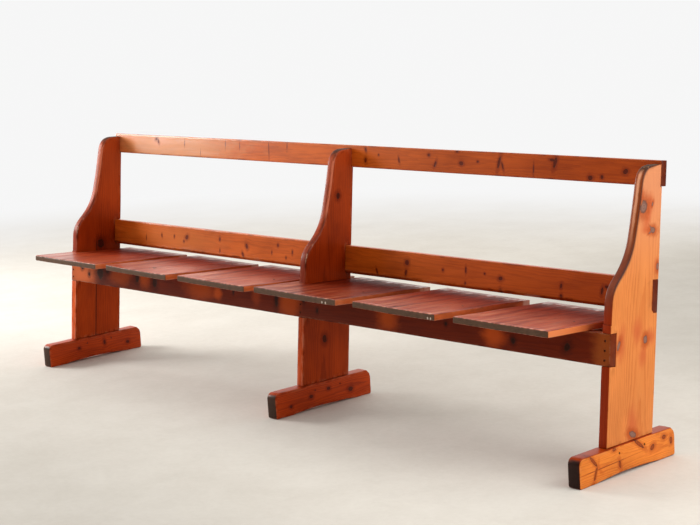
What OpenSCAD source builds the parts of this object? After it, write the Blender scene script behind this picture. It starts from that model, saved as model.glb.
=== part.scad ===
// Church pew: a long open-backed bench on three shaped end and middle standards.
// Millimetres, +Z up, +X along the bench, -Y is the side people sit down from.
// Origin: on the floor, at the middle of the overall length and depth.

/* [View] */
// Which piece to show

/* [Overall size] */
// Length of the bench over the outer faces of the two end standards
bench_length = 2670; // [2500:10:2900]
// Height of the front top edge of the seat above the floor
seat_height = 441; // [420:1:455]
// Lean of the standards and back rails, in degrees
back_rake = 6.2; // [4:0.1:7]
// Fall of the seat towards the back, in degrees
seat_slope = 3.9; // [2.5:0.1:5]

/* [Standards] */
// Thickness of each standard
standard_thickness = 29; // [26:1:34]
// Width of each standard below the seat, front to back
standard_width = 210; // [200:1:225]
// Height of the top of the standards, measured up the rake
standard_top = 862; // [850:1:868]
// How far the front edge steps back above the front beam
upper_setback = 3; // [1:0.5:6]
// Distance of the middle standard from the centre of the bench
middle_offset = 30; // [12:1:40]
// Width of the rear board of the left standard, which is made of two boards
left_rear_board_width = 114; // [108:1:122]

/* [Feet] */
// Height of each foot
foot_height = 87; // [80:1:95]
// Thickness of each foot
foot_thickness = 43; // [39:1:50]
// Reach of each foot in front of its standard
foot_front_reach = 129; // [110:1:140]
// Reach of each foot behind its standard
foot_rear_reach = 96; // [85:1:110]
// Height of the shallow arch under each foot
foot_arch = 7; // [3:0.5:12]
// Length of each flat pad at the ends of a foot
foot_pad = 74; // [60:1:95]
// Size of the rounding on the upper front corner of a foot
foot_front_round = 20; // [10:1:30]
// Size of the cut on the upper rear corner of a foot
foot_rear_cut = 24; // [10:1:32]

/* [Front beam] */
// Height of the front seat beam
beam_height = 92; // [80:1:98]
// Thickness of the front seat beam
beam_thickness = 27; // [24:1:32]

/* [Back rails] */
// Height of the lower back rail
lower_rail_height = 95; // [85:1:110]
// Thickness of the lower back rail
lower_rail_thickness = 26; // [22:1:30]
// Height of the bottom of the lower back rail, measured up the rake
lower_rail_bottom = 437; // [433:1:455]
// Bevel on the lower front edge of the lower back rail
lower_rail_bevel = 9; // [3:1:14]
// Height of the top back rail
top_rail_height = 74; // [65:1:85]
// Thickness of the top back rail
top_rail_thickness = 25; // [22:1:30]
// Height of the bottom of the top back rail, measured up the rake
top_rail_bottom = 798; // [790:1:802]
// Depth to which the top back rail is let into the standards
top_rail_let_in = 7; // [4:1:12]

/* [Seat boards] */
// Thickness of the seat boards
board_thickness = 20; // [18:1:23]
// Length of the seat boards, from front to back
board_length = 428; // [415:1:438]
// Reach of the seat boards in front of the standards
seat_overhang = 172; // [150:1:180]
// Room left round a standard in a notched seat board
notch_gap = 1; // [0.5:0.5:3]

/* [Seat bearers] */
// Height of the seat bearers under the back of the boards
bearer_height = 58; // [45:1:65]
// Thickness of the seat bearers
bearer_thickness = 26; // [22:1:30]
// Length of the stub tenons on the bearers
bearer_tenon = 9; // [6:1:11]

/* [Foot tenons] */
// Thickness of the tenon under each standard
tenon_thickness = 15; // [12:1:18]
// Depth of the tenon under each standard
tenon_depth = 48; // [40:1:56]
// Distance of the tenon from the front and back edges of its standard
tenon_shoulder = 32; // [26:1:40]

/* [Nails] */
// Radius of the shank of the nails
nail_radius = 1.6; // [1.4:0.1:2]
// Radius of the head of the nails
nail_head_radius = 3.2; // [3:0.1:4]
// Thickness of the head of the nails
nail_head = 1.4; // [1:0.1:2]
// How deep the heads in the front beam are set below its face
nail_set = 2; // [1:0.5:3]

/* [Hidden] */
$fn = 24;
half_length = bench_length / 2;
up_sin = sin(back_rake);
up_cos = cos(back_rake);
slope = tan(seat_slope);
// Front edge of the seat, in front of the standards at seat height
seat_y = up_sin / up_cos * (seat_height - foot_height) - standard_width - seat_overhang;
foot_y0 = -standard_width - foot_front_reach;
foot_y1 = foot_rear_reach;
// Moves everything so that the origin is at the middle of the overall depth
depth_middle = (seat_y + foot_y1) / 2;
// Outer face positions of the six boards, from left to right
board_edges = [
    [-half_length, -half_length + 405],
    [-half_length + 470, -half_length + 834],
    [-half_length + 901, -half_length + 1266],
    [middle_offset - 50, middle_offset + 350],
    [half_length - 878, half_length - 522],
    [half_length - 448, half_length - 84]
];
standard_x = [-half_length + standard_thickness / 2, middle_offset,
    half_length - standard_thickness / 2];
tenon_width = standard_width - 2 * tenon_shoulder;

// A point d in front of the standards' back edge and s up the rake
function rake(d, s) = [
    -d * up_cos + (s - foot_height) * up_sin,
    foot_height + d * up_sin + (s - foot_height) * up_cos
];
// Top and underside of the seat at a given depth
function seat_top(y) = seat_height - slope * (y - seat_y);
function seat_under(y) = seat_top(y) - board_thickness / cos(seat_slope);
// A point on a cubic curve
function curve(a, b, c, e, t) = a * pow(1 - t, 3) + 3 * b * t * pow(1 - t, 2)
    + 3 * c * t * t * (1 - t) + e * pow(t, 3);
function curve_points(a, b, c, e, n) = [for (i = [1 : n]) curve(a, b, c, e, i / n)];

// Front outline of a standard above the seat: shoulder, hollow, neck and rounded top
front_d = standard_width - upper_setback;
shoulder = [front_d, 474];
outline_front = concat(
    [shoulder],
    curve_points(shoulder, [front_d, 502], [front_d - 8, 519], [front_d - 28, 541], 7),
    curve_points([front_d - 28, 541], [front_d - 54, 569], [front_d - 77, 597],
        [front_d - 88, 648], 8),
    curve_points([front_d - 88, 648], [front_d - 98, 700], [front_d - 106, 750],
        [front_d - 111, 796], 6),
    curve_points([front_d - 111, 796], [front_d - 114, 834], [front_d - 128, standard_top - 5],
        [front_d - 165, standard_top - 2], 8)
);

module along_x(x0, x1) {
    translate([x0, 0, 0]) rotate([90, 0, 90]) linear_extrude(height = x1 - x0) children();
}

module placed() {
    translate([0, -depth_middle, 0]) children();
}

// Whole side outline of a standard, with its square bottom on the foot
module standard_outline() {
    foot_line = foot_height - standard_width * up_sin / up_cos;
    beam_s = seat_under(-standard_width + 20) + 3;
    polygon([for (p = concat(
        [[0, foot_height], [0, standard_top]],
        [for (i = [len(outline_front) - 1 : -1 : 0]) outline_front[i]],
        [[front_d, beam_s], [standard_width, beam_s], [standard_width, foot_line]]
    )) rake(p[0], p[1])]);
}

module tenon(x, gap) {
    along_x(x - tenon_thickness / 2 - gap, x + tenon_thickness / 2 + gap)
        translate([-standard_width + tenon_shoulder - gap, foot_height - tenon_depth - gap])
            square([tenon_width + 2 * gap, tenon_depth + 2 * gap]);
}

// Section of the front beam: square to the rake, planed to the slope on top
beam_front = rake(standard_width, 0);
beam_top_y = rake(standard_width, seat_height - 40)[0];
beam_top_s = foot_height
    + (seat_under(beam_top_y) - foot_height - standard_width * up_sin) / up_cos;
module beam_section() {
    s0 = beam_top_s;
    a = rake(standard_width, s0 - beam_height);
    b = rake(standard_width, s0);
    c = rake(standard_width - beam_thickness, s0 - beam_height);
    e = rake(standard_width - beam_thickness, s0);
    polygon([a, [b[0], seat_under(b[0])], [e[0], seat_under(e[0])], c]);
}

module beam_bar(x0, x1) {
    along_x(x0, x1) beam_section();
}

module lower_rail_section(grow) {
    s0 = lower_rail_bottom;
    s1 = s0 + lower_rail_height;
    t = lower_rail_thickness;
    b = lower_rail_bevel;
    polygon([rake(0, s0), rake(t - b, s0), rake(t, s0 + b), rake(t, s1), rake(0, s1)]);
}

module top_rail_section() {
    s0 = top_rail_bottom;
    s1 = s0 + top_rail_height;
    d0 = top_rail_let_in - top_rail_thickness;
    polygon([rake(d0, s0), rake(top_rail_let_in, s0), rake(top_rail_let_in, s1), rake(d0, s1)]);
}

// Housing for the lower rail, square, so that the bevel shows a small opening
module lower_rail_housing(x0, x1) {
    along_x(x0, x1) lower_rail_section(0);
}

bearer_y = rake(0, seat_height)[0] - 46;
module bearer_section(gap) {
    y0 = bearer_y - gap;
    y1 = bearer_y + bearer_thickness + gap;
    z0 = seat_under(bearer_y) - bearer_height - gap;
    polygon([[y0, z0], [y1, z0], [y1, seat_under(y1) + gap], [y0, seat_under(y0) + gap]]);
}

module bearer_tenon_section(gap) {
    y0 = bearer_y + 6 - gap;
    y1 = bearer_y + bearer_thickness - 6 + gap;
    z1 = seat_under(bearer_y + bearer_thickness) - 9 + gap;
    z0 = seat_under(bearer_y) - bearer_height + 9 - gap;
    translate([y0, z0]) square([y1 - y0, z1 - z0]);
}

// A nail with its head at the origin, driven along -Z
module nail(length, gap) {
    translate([0, 0, -length]) cylinder(h = length - nail_head / 2, r = nail_radius + gap);
    translate([0, 0, -nail_head]) cylinder(h = nail_head + gap, r = nail_head_radius + gap);
}

// Three nails through the beam into each standard, punched below the face
module beam_nails_at(gap) {
    for (x = standard_x, k = [0.2, 0.5, 0.8]) {
        p = rake(standard_width, beam_top_s - (1 - k) * beam_height);
        translate([x - 4, p[0], p[1]]) rotate([90 - back_rake, 0, 0])
            translate([0, 0, -nail_set]) nail(62, gap);
    }
}

module beam_nail_pockets() {
    for (x = standard_x, k = [0.2, 0.5, 0.8]) {
        p = rake(standard_width, beam_top_s - (1 - k) * beam_height);
        translate([x - 4, p[0], p[1]]) rotate([90 - back_rake, 0, 0])
            translate([0, 0, -nail_set - 0.1]) cylinder(h = nail_set + 2, r = nail_head_radius + 0.3);
    }
}

// Nails through the lower rail from behind
module lower_rail_nails_at(gap) {
    for (x = standard_x, k = [0.24, 0.76]) {
        p = rake(0, lower_rail_bottom + k * lower_rail_height);
        translate([x, p[0], p[1]]) rotate([-90 - back_rake, 0, 0]) nail(58, gap);
    }
}

// Nails through the top rail from behind
module top_rail_nails_at(gap) {
    for (x = standard_x, k = [0.25, 0.75]) {
        p = rake(top_rail_let_in - top_rail_thickness, top_rail_bottom + k * top_rail_height);
        translate([x, p[0], p[1]]) rotate([-90 - back_rake, 0, 0]) nail(56, gap);
    }
}

// Nails down through the boards into the beam and the bearers
module seat_nails_at(gap) {
    front_nail_y = rake(standard_width - beam_thickness / 2, seat_height - 40)[0];
    for (i = [0 : 5], k = [0.16, 0.84], y = [front_nail_y, bearer_y + bearer_thickness / 2]) {
        x = board_edges[i][0] + k * (board_edges[i][1] - board_edges[i][0]);
        translate([x, y, seat_top(y)]) rotate([-seat_slope, 0, 0]) nail(46, gap);
    }
}

// Nails through each foot and its tenon, from the right-hand face
module foot_nails_at(gap) {
    for (x = standard_x, y = [-tenon_shoulder - 16, -standard_width + tenon_shoulder + 16]) {
        translate([x + foot_thickness / 2, y, foot_height - 22]) rotate([0, 90, 0]) nail(34, gap);
    }
}

module foot_outline() {
    y0 = foot_y0;
    y1 = foot_y1;
    h = foot_height;
    r = foot_front_round;
    c = foot_rear_cut;
    edge = 3;
    n = 14;
    polygon(concat(
        [[y0 + edge, 0], [y0, edge * 2]],
        [for (i = [0 : 6]) [y0 + r - r * cos(i * 15), h - r + r * sin(i * 15)]],
        [[y1 - c * 0.7, h], [y1 - c * 0.16, h - c * 0.55], [y1, h - c * 1.1],
            [y1, edge * 2], [y1 - edge, 0], [y1 - foot_pad, 0]],
        [for (i = [1 : n - 1])
            [y1 - foot_pad - i / n * (y1 - y0 - 2 * foot_pad),
                foot_arch * pow(sin(180 * i / n), 0.7)]],
        [[y0 + foot_pad, 0]]
    ));
}

module foot(x) {
    placed() difference() {
        along_x(x - foot_thickness / 2, x + foot_thickness / 2) foot_outline();
        tenon(x, 0.1);
        foot_nails_at(0.05);
    }
}

module standard(x) {
    placed() difference() {
        union() {
            along_x(x - standard_thickness / 2, x + standard_thickness / 2) standard_outline();
            tenon(x, 0);
        }
        beam_bar(-half_length - 1, half_length + 1);
        along_x(-half_length - 1, half_length + 1) lower_rail_section(0);
        along_x(-half_length - 1, half_length + 1) top_rail_section();
        for (side = [-1, 1])
            if (abs(x + side * 100) < half_length)
                along_x(x + side * standard_thickness / 2 - bearer_tenon - 0.1,
                    x + side * standard_thickness / 2 + bearer_tenon + 0.1)
                    bearer_tenon_section(0.1);
        beam_nails_at(0.05);
        lower_rail_nails_at(0.05);
        top_rail_nails_at(0.05);
        foot_nails_at(0.05);
    }
}

// The part of the left standard in front of or behind its glue line
module glue_line_side(front) {
    d0 = front ? left_rear_board_width : -200;
    d1 = front ? 400 : left_rear_board_width;
    placed() along_x(-half_length - 60, -half_length + 90)
        polygon([rake(d0, -60), rake(d1, -60), rake(d1, 1000), rake(d0, 1000)]);
}

module seat_board(i) {
    x0 = board_edges[i][0];
    x1 = board_edges[i][1];
    l = board_length * cos(seat_slope);
    notch_y = rake(front_d, seat_height - 20)[0] - notch_gap;
    placed() difference() {
        along_x(x0, x1) polygon([
            [seat_y, seat_top(seat_y)], [seat_y + l, seat_top(seat_y + l)],
            [seat_y + l, seat_under(seat_y + l)], [seat_y, seat_under(seat_y)]
        ]);
        for (x = standard_x)
            if (x > x0 && x < x1)
                translate([x - standard_thickness / 2 - notch_gap - (i == 0 ? 40 : 0), notch_y,
                    seat_height - 120])
                    cube([standard_thickness + 2 * notch_gap + (i == 0 ? 40 : 0), 500, 240]);
        seat_nails_at(0.05);
    }
}

module standard_left_front_board() {
    color("#7a2f14") intersection() { standard(standard_x[0]); glue_line_side(true); }
}

module standard_left_rear_board() {
    color("#83341a") intersection() { standard(standard_x[0]); glue_line_side(false); }
}

module standard_middle() { color("#843317") standard(standard_x[1]); }

module standard_right() { color("#d98447") standard(standard_x[2]); }

module foot_left() { color("#b35a26") foot(standard_x[0]); }

module foot_middle() { color("#a04d20") foot(standard_x[1]); }

module foot_right() { color("#d67c30") foot(standard_x[2]); }

module top_back_rail() {
    color("#b05a28") placed() difference() {
        along_x(-half_length, half_length) top_rail_section();
        top_rail_nails_at(0.05);
    }
}

module lower_back_rail() {
    color("#a94f22") placed() difference() {
        along_x(-half_length, half_length) lower_rail_section(0);
        lower_rail_nails_at(0.05);
    }
}

module front_seat_beam() {
    color("#6f2a12") placed() difference() {
        beam_bar(-half_length, half_length);
        beam_nails_at(0.05);
        beam_nail_pockets();
        seat_nails_at(0.05);
    }
}

module bearer(x0, x1) {
    placed() difference() {
        union() {
            along_x(x0 + 0.1, x1 - 0.1) bearer_section(0);
            along_x(x0 - bearer_tenon, x1 + bearer_tenon) bearer_tenon_section(0);
        }
        seat_nails_at(0.05);
    }
}

module rear_seat_bearer_left() {
    color("#8a3d1c")
        bearer(standard_x[0] + standard_thickness / 2, standard_x[1] - standard_thickness / 2);
}

module rear_seat_bearer_right() {
    color("#8a3d1c")
        bearer(standard_x[1] + standard_thickness / 2, standard_x[2] - standard_thickness / 2);
}

module seat_board_1() { color("#a5502c") seat_board(0); }
module seat_board_2() { color("#a04a28") seat_board(1); }
module seat_board_3() { color("#a5502c") seat_board(2); }
module seat_board_4() { color("#9b4625") seat_board(3); }
module seat_board_5() { color("#a04a28") seat_board(4); }
module seat_board_6() { color("#97431f") seat_board(5); }

module beam_nails() { color("#3a3230") placed() beam_nails_at(0); }
module lower_rail_nails() { color("#3a3230") placed() lower_rail_nails_at(0); }
module top_rail_nails() { color("#3a3230") placed() top_rail_nails_at(0); }
module seat_board_nails() { color("#3a3230") placed() seat_nails_at(0); }
module foot_nails() { color("#3a3230") placed() foot_nails_at(0); }

standard_left_front_board();
standard_left_rear_board();
standard_middle();
standard_right();
foot_left();
foot_middle();
foot_right();
top_back_rail();
lower_back_rail();
front_seat_beam();
rear_seat_bearer_left();
rear_seat_bearer_right();
seat_board_1();
seat_board_2();
seat_board_3();
seat_board_4();
seat_board_5();
seat_board_6();
beam_nails();
lower_rail_nails();
top_rail_nails();
seat_board_nails();
foot_nails();
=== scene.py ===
import math

import bmesh
import bpy
from mathutils import Matrix, Vector, noise
from mathutils.geometry import delaunay_2d_cdt


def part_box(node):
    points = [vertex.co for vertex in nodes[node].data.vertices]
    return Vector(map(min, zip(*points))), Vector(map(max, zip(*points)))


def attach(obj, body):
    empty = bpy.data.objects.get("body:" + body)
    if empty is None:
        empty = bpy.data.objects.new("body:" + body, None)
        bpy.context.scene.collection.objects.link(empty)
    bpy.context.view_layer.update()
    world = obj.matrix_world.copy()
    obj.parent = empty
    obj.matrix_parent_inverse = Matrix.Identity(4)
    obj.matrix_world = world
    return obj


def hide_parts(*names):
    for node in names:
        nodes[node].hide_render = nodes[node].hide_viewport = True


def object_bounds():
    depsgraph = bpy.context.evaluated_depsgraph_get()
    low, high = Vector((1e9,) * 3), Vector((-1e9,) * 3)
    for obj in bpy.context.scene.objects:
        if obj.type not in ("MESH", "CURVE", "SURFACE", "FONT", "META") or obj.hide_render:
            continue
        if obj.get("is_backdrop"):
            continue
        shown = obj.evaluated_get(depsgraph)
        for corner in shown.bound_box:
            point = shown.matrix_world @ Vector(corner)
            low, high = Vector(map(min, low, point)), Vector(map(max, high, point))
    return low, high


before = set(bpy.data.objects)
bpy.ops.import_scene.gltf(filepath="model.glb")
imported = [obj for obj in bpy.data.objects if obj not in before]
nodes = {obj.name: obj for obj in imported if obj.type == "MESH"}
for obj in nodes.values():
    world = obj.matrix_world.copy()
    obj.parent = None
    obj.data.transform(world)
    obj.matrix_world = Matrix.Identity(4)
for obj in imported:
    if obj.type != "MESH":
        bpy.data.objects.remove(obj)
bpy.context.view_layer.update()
scene = bpy.context.scene
X, Y, Z = Vector((1, 0, 0)), Vector((0, 1, 0)), Vector((0, 0, 1))


# ---------------------------------------------------------------- shader nodes
class Tree:
    """The node tree of a material or world, with short names for the nodes used here."""

    def __init__(self, owner, output="ShaderNodeOutputMaterial"):
        owner.use_nodes = True
        self.owner = owner
        self.nodes, self.links = owner.node_tree.nodes, owner.node_tree.links
        self.nodes.clear()
        self.out = self.new(output)

    def new(self, kind, **props):
        n = self.nodes.new(kind)
        for k, v in props.items():
            setattr(n, k, v)
        return n

    def put(self, socket, value):
        if isinstance(value, bpy.types.NodeSocket):
            self.links.new(value, socket)
        elif value is not None:
            socket.default_value = value

    def m(self, op, a, b=None, c=None, clamp=False):
        n = self.new("ShaderNodeMath", operation=op, use_clamp=clamp)
        for s, v in zip(n.inputs, (a, b, c)):
            self.put(s, v)
        return n.outputs[0]

    def add(self, a, b, clamp=False):
        return self.m("ADD", a, b, clamp=clamp)

    def sub(self, a, b, clamp=False):
        return self.m("SUBTRACT", a, b, clamp=clamp)

    def mul(self, a, b, *more):
        product = self.m("MULTIPLY", a, b)
        return self.mul(product, *more) if more else product

    def mad(self, a, b, c):
        """a times b, plus c."""
        return self.m("MULTIPLY_ADD", a, b, c)

    def v(self, op, a, b=None, scale=None):
        n = self.new("ShaderNodeVectorMath", operation=op)
        self.put(n.inputs[0], a)
        self.put(n.inputs[1], b)
        if scale is not None:
            self.put(n.inputs["Scale"], scale)
        return n.outputs["Value"] if op in ("DOT_PRODUCT", "LENGTH") else n.outputs["Vector"]

    def dot(self, a, b):
        return self.v("DOT_PRODUCT", a, tuple(b))

    def xyz(self, x, y, z):
        n = self.new("ShaderNodeCombineXYZ")
        for s, v in zip(n.inputs, (x, y, z)):
            self.put(s, v)
        return n.outputs[0]

    def split(self, vec):
        n = self.new("ShaderNodeSeparateXYZ")
        self.put(n.inputs[0], vec)
        return n.outputs[:3]

    def noise(self, vec, scale=1.0, detail=3.0, rough=0.5, warp=0.0):
        n = self.new("ShaderNodeTexNoise")
        self.put(n.inputs["Vector"], vec)
        self.put(n.inputs["Scale"], scale)
        self.put(n.inputs["Detail"], detail)
        self.put(n.inputs["Roughness"], rough)
        self.put(n.inputs["Distortion"], warp)
        return n.outputs["Fac"]

    def grain(self, vec, scales, detail, rough=0.5, shift=None):
        """Noise stretched by its own scale on each axis, in features per millimetre."""
        vec = self.v("MULTIPLY", vec, scales)
        return self.noise(self.v("ADD", vec, shift) if shift else vec, 1.0, detail, rough)

    def ramp(self, fac, stops, mode="LINEAR"):
        n = self.new("ShaderNodeValToRGB")
        n.color_ramp.interpolation = mode
        e = n.color_ramp.elements
        while len(e) < len(stops):
            e.new(0.5)
        for el, (pos, col) in zip(e, stops):
            el.position = pos
            el.color = (*col, 1)
        self.put(n.inputs[0], fac)
        return n.outputs[0]

    def step(self, x, lo, hi):
        """0 at lo, 1 at hi, smooth between; lo may be above hi."""
        n = self.new("ShaderNodeMapRange", interpolation_type="SMOOTHSTEP")
        self.put(n.inputs["Value"], x)
        flip = lo > hi
        self.put(n.inputs["From Min"], hi if flip else lo)
        self.put(n.inputs["From Max"], lo if flip else hi)
        self.put(n.inputs["To Min"], 1.0 if flip else 0.0)
        self.put(n.inputs["To Max"], 0.0 if flip else 1.0)
        return n.outputs[0]

    def mix(self, fac, a, b, blend="MIX"):
        n = self.new("ShaderNodeMix", data_type="RGBA", blend_type=blend)
        self.put(n.inputs[0], fac)
        self.put(n.inputs[6], a)
        self.put(n.inputs[7], b)
        return n.outputs[2]

    def times(self, col, tone):
        return self.mix(1.0, col, tone, "MULTIPLY")

    def stain(self, fac, col, tone):
        """Multiplies a colour by a tone where fac is 1."""
        return self.mix(fac, col, self.times(col, (*tone, 1)))


def material(name):
    return Tree(bpy.data.materials.new(name))


def srgb(r, g, b):
    def f(c):
        c /= 255
        return c / 12.92 if c <= 0.04045 else ((c + 0.055) / 1.055) ** 2.4
    return (f(r), f(g), f(b), 1)


def scaled(c, k):
    return (c[0] * k, c[1] * k, c[2] * k, 1)


# ---------------------------------------------------------------- wood
# In the wood functions v is a place in the timber, in mm: along the grain, across, and deep.
def spot(t, v, a, b, ra, rb, turn, deep=(0, 200)):
    """Distance from the middle of an ellipse, 1 at its rim; deep: its depth and half depth."""
    mp = t.new("ShaderNodeMapping", vector_type="TEXTURE")
    t.put(mp.inputs["Vector"], v)
    mp.inputs["Location"].default_value = (a, b, deep[0])
    mp.inputs["Rotation"].default_value = (0, 0, math.radians(turn))
    mp.inputs["Scale"].default_value = (ra, rb, deep[1])
    return t.v("LENGTH", mp.outputs[0])


def stated_knots(t, v, b, side, knots):
    """Nearness to the knots (along, across, half length, half width, turn); b flows round them."""
    near = None
    for ka, kb, ra, rb, turn in knots:
        d = spot(t, v, ka, kb, ra, rb, turn, (0, 70))
        if rb > 5:
            q = t.sub(side, float(kb))
            b = t.sub(b, t.m("DIVIDE", q, t.mad(t.mul(d, d), 0.5, 0.5)))
        near = d if near is None else t.m("MINIMUM", near, d)
    return near, b


def scattered_knots(t, v, amount, seed):
    """Nearness to knots placed by chance."""
    vo = t.new("ShaderNodeTexVoronoi", voronoi_dimensions="3D", feature="F1")
    t.put(vo.inputs["Vector"], t.v("ADD", t.v("MULTIPLY", v, (0.011, 0.019, 0.004)),
                                   (seed * 1.3, seed * 0.7, 0.4)))
    t.put(vo.inputs["Scale"], 1.0)
    t.put(vo.inputs["Randomness"], 0.9)
    size = t.mul(t.sub(t.dot(vo.outputs["Color"], X), 1 - amount, clamp=True), 0.22)
    d = t.m("DIVIDE", vo.outputs["Distance"], t.add(size, 0.012))
    return t.add(d, t.mul(t.m("LESS_THAN", size, 0.001), 50))


def draw_knots(t, v, near, col, height, dark, rim, heart, halo):
    """A reddish halo, rings in the heart and a dark rim, with a ragged outline."""
    d = t.mul(near, t.mad(t.grain(v, (0.06, 0.09, 0.09), 3.0, 0.6), 0.9, 0.55))
    col = t.mix(t.mul(t.step(d, 3.0, 1.0), halo), col,
                scaled((dark[0], dark[1] * 0.75, dark[2] * 0.6), 0.8))
    rings = t.mad(t.m("SINE", t.mul(d, 17.0)), 0.25, 0.75)
    core = t.mix(rings, rim, heart or scaled(dark, 0.75))
    core = t.mix(t.step(d, 0.62, 0.95), core, rim)
    col = t.mix(t.step(d, 1.12, 0.86), col, core)
    return col, t.sub(height, t.mul(t.step(d, 1.2, 0.9), 0.5))


def sawn_ends(t, v, col, late, facing, end):
    """End grain on the faces that look along the grain."""
    is_end = t.step(facing, 0.5, 0.86)
    tone = t.grain(v, (0.02, 0.035, 0.3), 4.0, 0.65)
    cut = t.mix(t.mul(late, 0.35), end, scaled(end, 0.5))
    cut = t.times(cut, t.ramp(tone, [(0.3, (0.8, 0.78, 0.76)), (0.5, (1, 1, 1)),
                                     (0.72, (1.2, 1.2, 1.2))]))
    return t.mix(is_end, col, cut), is_end


def worn_edges(t, v, col, facing, rub, light, dark, wear):
    """Arrises lighter where worn, the pale crest partly a painted highlight, and darker where dirt has
    gathered.
    """
    edge = t.new("ShaderNodeAttribute", attribute_name="edge").outputs["Fac"]
    wear_and_highlight = t.mul(edge, t.step(rub, 0.45, 0.62), wear)
    grime = t.mul(edge, t.step(rub, 0.52, 0.36), wear)
    off_end = t.mad(t.step(facing, 0.8, 0.97), -0.9, 1.0)
    bare = t.mix(0.5, scaled(light, 1.25), (0.42, 0.23, 0.13, 1))
    # bare wood on the crest, partly a painted highlight along the arris
    col = t.mix(t.mul(wear_and_highlight, off_end), col, bare)
    return t.mix(t.mul(grime, off_end), col, scaled(dark, 0.3))


def wood(name, grain, across, origin, light, dark, end, knots=(), spacing=4.2, pith=(10, -70),
         taper=0.02, wobble=7.0, ring=0.55, streak=0.35, mottle=0.35, rough=0.38, coat=0.7,
         coat_rough=0.12, rim=(0.035, 0.012, 0.006, 1), heart=None, halo=0.55,
         random_knots=0.0, seed=0, under=None, extra=None, wear=0.5, stained_round=None):
    """Varnished softwood. grain, across: directions; origin: in mm; under: colours that the
    knots are drawn over; extra: changes to the finished surface."""
    t = material(name)
    g = Vector(grain).normalized()
    a = (Vector(across) - Vector(across).dot(g) * g).normalized()
    co = t.new("ShaderNodeTexCoord").outputs["Object"]
    p = t.v("SUBTRACT", t.v("SCALE", co, scale=1000.0), tuple(origin))
    along, side, deep = t.dot(p, g), t.dot(p, a), t.dot(p, g.cross(a))
    v = t.xyz(along, side, deep)
    # slow wander of the grain
    slow = t.grain(v, (0.0016, 0.011, 0.011), 2.0, 0.5, (seed * 3.7, seed, 0))
    quick = t.grain(v, (0.006, 0.03, 0.03), 3.0, 0.55, (seed, seed * 2.3, 5))
    shift = t.mad(t.sub(slow, 0.5), wobble * 6, t.mul(t.sub(quick, 0.5), wobble))
    near, b = stated_knots(t, v, t.add(side, shift), side, knots)
    if random_knots:
        near = scattered_knots(t, v, random_knots, seed)
    # growth rings round the pith, uneven in width and darkness
    b, c = t.sub(b, float(pith[0])), t.sub(deep, float(pith[1]))
    r = t.mad(along, taper, t.m("SQRT", t.add(t.mul(b, b), t.mul(c, c))))
    fine = t.grain(v, (0.01, 0.25, 0.25), 2.0, 0.6)
    phase = t.m("FRACT", t.add(t.m("DIVIDE", r, spacing), t.mul(fine, 0.8)))
    late = t.ramp(phase, [(0.0, (0, 0, 0)), (0.45, (0.22, 0.22, 0.22)), (0.8, (0.8, 0.8, 0.8)),
                          (0.92, (1, 1, 1)), (1.0, (0, 0, 0))], "EASE")
    strength = t.grain(v, (0.004, 0.02, 0.02), 2.0, shift=(9, seed, 2))
    late = t.mul(late, t.mad(strength, ring * 1.3, ring * 0.35))
    # fibres and cloudy patches
    fibre = t.grain(v, (0.012, 0.9, 0.9), 4.0, 0.65)
    hair = t.grain(v, (0.05, 3.5, 3.5), 2.0, 0.6)
    patch = t.grain(v, (0.0045, 0.014, 0.014), 3.0, 0.55, (seed, 3, seed))
    f = t.mad(t.sub(fibre, 0.5), streak * 2.2, t.mul(t.sub(hair, 0.5), streak * 0.9))
    f = t.mad(t.sub(patch, 0.5), mottle * 2.4, f)
    col = t.times(t.mix(late, light, dark), t.ramp(t.add(f, 0.5, clamp=True), [
        (0.0, (0.42, 0.30, 0.24)), (0.5, (1, 1, 1)), (1.0, (1.45, 1.6, 1.75))]))
    if under:
        col = under(t, v, col)
    height = t.add(t.mul(fibre, 0.5), t.mul(late, 0.25))
    gloss = t.mad(t.sub(patch, 0.5), 0.25, rough)
    if near is not None:
        col, height = draw_knots(t, v, near, col, height, dark, rim, heart, halo)
    normal = t.new("ShaderNodeNewGeometry").outputs["Normal"]
    facing = t.m("ABSOLUTE", t.dot(normal, g))
    col, is_end = sawn_ends(t, v, col, late, facing, end)
    rub = t.grain(v, (0.02, 0.05, 0.05), 4.0, 0.65)
    col = worn_edges(t, v, col, facing, rub, light, dark, wear)
    belly = t.new("ShaderNodeAttribute", attribute_name="round").outputs["Fac"]
    gleam = t.mad(belly, 0.35, coat)
    if stained_round:
        col = t.mix(t.mul(belly, t.step(rub, 0.95, 0.55)), col, stained_round)
    if extra:
        col, height, gloss, gleam = extra(t, v, col, height, gloss, gleam)
    bs = t.new("ShaderNodeBsdfPrincipled")
    t.put(bs.inputs["Base Color"], col)
    t.put(bs.inputs["Roughness"], t.add(gloss, t.mul(is_end, 0.15)))
    t.put(bs.inputs["Coat Weight"], gleam)
    bs.inputs["Specular Tint"].default_value = (1, 0.62, 0.4, 1)
    bs.inputs["Coat Roughness"].default_value = coat_rough
    bs.inputs["Coat IOR"].default_value = 1.5
    bs.inputs["Specular IOR Level"].default_value = 0.1
    wave = t.grain(v, (0.006, 0.03, 0.03), 2.0, 0.5)
    for socket, relief, strength, distance in (
            ("Normal", height, 0.35, 0.0008),
            ("Coat Normal", t.mad(late, 0.03, wave), 0.5, 0.0012)):
        bump = t.new("ShaderNodeBump")
        t.put(bump.inputs["Height"], relief)
        bump.inputs["Strength"].default_value = strength
        bump.inputs["Distance"].default_value = distance
        t.put(bs.inputs[socket], bump.outputs[0])
    t.put(t.out.inputs[0], bs.outputs[0])
    return t.owner


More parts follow.
